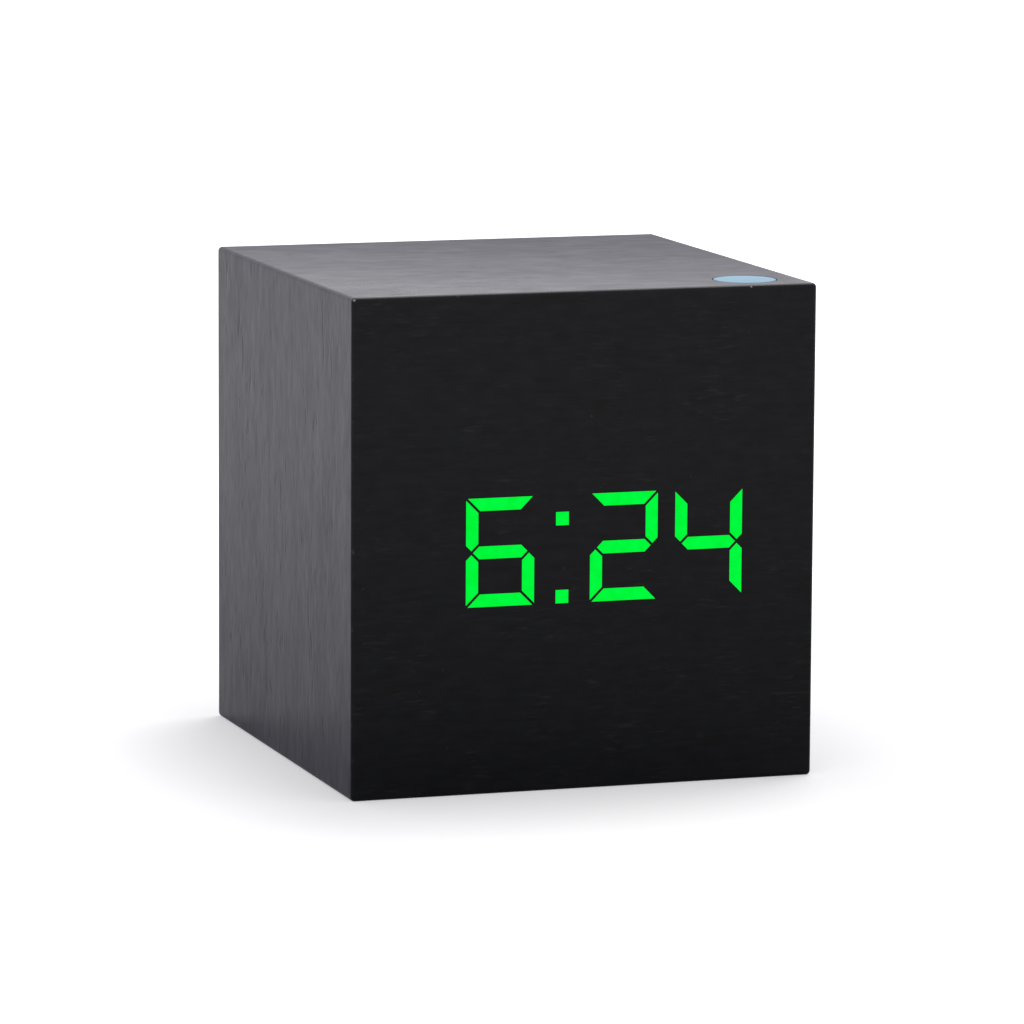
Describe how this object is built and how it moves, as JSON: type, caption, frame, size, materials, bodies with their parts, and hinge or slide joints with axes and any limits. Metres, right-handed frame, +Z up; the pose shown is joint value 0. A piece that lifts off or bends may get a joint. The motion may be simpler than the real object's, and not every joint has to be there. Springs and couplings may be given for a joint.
{
  "type": "digital led desk clock",
  "caption": "Cube-shaped wooden desk clock with green LED digits glowing through a black front film, a flush push button in the top, and a rear cover with keys, power socket and battery door.",
  "frame": {"origin": "middle of the underside of the case, on the surface it stands on", "axes": "+Z up; the display faces -Y and the rear cover +Y; +X is to the right seen from the front"},
  "size_m": [0.067, 0.067, 0.0692],
  "materials": {
    "case_laminate": "satin",
    "front_laminate": "satin",
    "lit_film": "satin",
    "white_plastic": "satin",
    "clear_epoxy": "gloss",
    "light_chip": "satin",
    "circuit_board": "satin",
    "plated_steel": "satin",
    "black_steel": "satin",
    "chip_black": "matte",
    "capacitor_sleeve": "satin",
    "resistor_ceramic": "satin",
    "header_white": "matte",
    "ribbon_grey": "matte",
    "button_blue": "satin",
    "bare_wood": "matte",
    "cover_black": "matte",
    "key_black": "satin",
    "cell_sleeve": "satin",
    "contact_nickel": "satin",
    "lead_red": "satin",
    "lead_black": "satin",
    "lead_white": "satin",
    "socket_black": "satin"
  },
  "bodies": {
    "case": {"top_board": "case_laminate", "left_board": "case_laminate", "right_board": "case_laminate", "bottom_board": "case_laminate", "front_board": "bare_wood", "front_film": "front_laminate", "lit_hour": "lit_film", "lit_colon": "lit_film", "lit_minute_tens": "lit_film", "lit_minute_units": "lit_film", "reflector_block": "white_plastic", "light_cells": "clear_epoxy", "led_chips": "light_chip", "display_board": "circuit_board", "display_spacers": "white_plastic", "display_screws": "plated_steel", "clock_chip": "chip_black", "chip_legs": "contact_nickel", "crystal_can": "plated_steel", "buzzer": "chip_black", "capacitors": "capacitor_sleeve", "chip_resistors": "resistor_ceramic", "ribbon_headers": "header_white", "ribbon_cable": "ribbon_grey", "snooze_switch": "chip_black", "snooze_board": "circuit_board", "snooze_bracket": "plated_steel", "bracket_screws": "plated_steel", "snooze_leads": "lead_white", "corner_blocks": "bare_wood", "rear_cover": "cover_black", "rear_screws": "black_steel", "battery_box": "cover_black", "battery_cells": "cell_sleeve", "battery_springs": "contact_nickel", "contact_plates": "contact_nickel", "battery_lead_red": "lead_red", "battery_lead_black": "lead_black", "key_switches": "chip_black", "key_board": "circuit_board", "key_board_screws": "plated_steel", "power_socket": "socket_black", "socket_contacts": "plated_steel", "socket_nut": "plated_steel", "socket_leads": "lead_black"},
    "snooze_button": {"snooze_button": "button_blue", "snooze_retainer": "plated_steel", "snooze_plunger": "chip_black"},
    "set_key": {"set_key": "key_black", "set_plunger": "chip_black"},
    "up_key": {"up_key": "key_black", "up_plunger": "chip_black"},
    "down_key": {"down_key": "key_black", "down_plunger": "chip_black"},
    "battery_door": {"battery_door": "cover_black", "door_latch": "cover_black"}
  },
  "joints": [
    {"name": "snooze_press", "type": "slide", "parent": "case", "child": "snooze_button", "axis": [0, 0, -1], "range_m": [0, 0.0005], "stiffness_N_per_m": 2000},
    {"name": "set_press", "type": "slide", "parent": "case", "child": "set_key", "axis": [0, -1, 0], "range_m": [0, 0.0005], "stiffness_N_per_m": 2000},
    {"name": "up_press", "type": "slide", "parent": "case", "child": "up_key", "axis": [0, -1, 0], "range_m": [0, 0.0005], "stiffness_N_per_m": 2000},
    {"name": "down_press", "type": "slide", "parent": "case", "child": "down_key", "axis": [0, -1, 0], "range_m": [0, 0.0005], "stiffness_N_per_m": 2000},
    {"name": "door_swing", "type": "hinge", "parent": "case", "child": "battery_door", "pos_m": [0, 0.032, 0.011], "axis": [-1, 0, 0], "range_deg": [0, 65], "deforming": ["door_latch"]}
  ]
}
